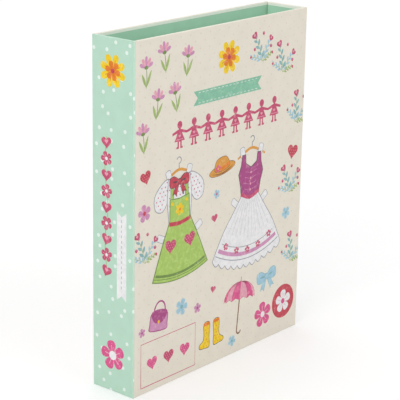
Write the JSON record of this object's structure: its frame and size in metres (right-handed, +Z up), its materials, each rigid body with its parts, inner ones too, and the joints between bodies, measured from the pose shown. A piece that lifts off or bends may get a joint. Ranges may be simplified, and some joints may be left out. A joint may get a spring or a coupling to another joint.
{
  "type": "boxed paper doll kit",
  "caption": "Upright book-shaped gift case of wrapped boards with a magnetic fore-edge flap and a glued tray that holds press-out paper dolls, their stands and sheets of clothes.",
  "frame": {"origin": "centre of the closed case's footprint, on the surface that it stands on", "axes": "+X from the spine to the fore-edge, +Y from the front cover to the back panel, +Z up"},
  "size_m": [0.195, 0.04, 0.26],
  "materials": {
    "greyboard": "uncoated grey pulp board with a fibrous cut edge",
    "cream_print": "matt laminated cream paper, finely speckled and printed",
    "mint_print": "matt laminated mint paper with scattered white dots",
    "mint_lining": "matt mint lining paper with sparse white dots",
    "magnet": "nickel-plated disc magnet",
    "white_card": "folded white card",
    "leaflet_paper": "uncoated white paper",
    "clothes_card": "thin printed card, perforated round the garments",
    "doll_board": "white board with a printed matt face and a die-cut edge"
  },
  "bodies": {
    "case": {"back_board": "greyboard", "back_cover_paper": "cream_print", "back_lining": "mint_lining", "spine_board": "greyboard", "spine_cover_paper": "mint_print", "spine_lining": "mint_lining", "tray_magnet_upper": "magnet", "tray_magnet_lower": "magnet", "tray_floor_board": "greyboard", "tray_upper_wall": "greyboard", "tray_lower_wall": "greyboard", "tray_spine_wall": "greyboard", "tray_flap_wall": "greyboard", "tray_cover_paper": "mint_lining", "tray_floor_paper": "mint_lining", "insert_platform": "white_card", "instruction_leaflet": "leaflet_paper", "clothes_sheet_1": "clothes_card", "clothes_sheet_2": "clothes_card", "clothes_sheet_3": "clothes_card", "clothes_sheet_4": "clothes_card", "clothes_sheet_5": "clothes_card", "clothes_sheet_6": "clothes_card", "doll_sheet_frame": "doll_board", "doll_1": "doll_board", "doll_2": "doll_board", "stand_foot_1": "doll_board", "stand_foot_2": "doll_board"},
    "cover": {"front_board": "greyboard", "front_cover_paper": "cream_print", "front_lining": "mint_lining"},
    "flap": {"flap_board": "greyboard", "flap_cover_paper": "cream_print", "flap_lining": "mint_lining", "flap_magnet_upper": "magnet", "flap_magnet_lower": "magnet"}
  },
  "joints": [
    {"name": "cover_fold", "type": "hinge", "parent": "case", "child": "cover", "pos_m": [-0.0975, -0.02, 0.13], "axis": [0, 0, -1], "range_deg": [0, 180]},
    {"name": "flap_fold", "type": "hinge", "parent": "cover", "child": "flap", "pos_m": [0.0975, -0.02, 0.13], "axis": [0, 0, -1], "range_deg": [0, 180]}
  ]
}
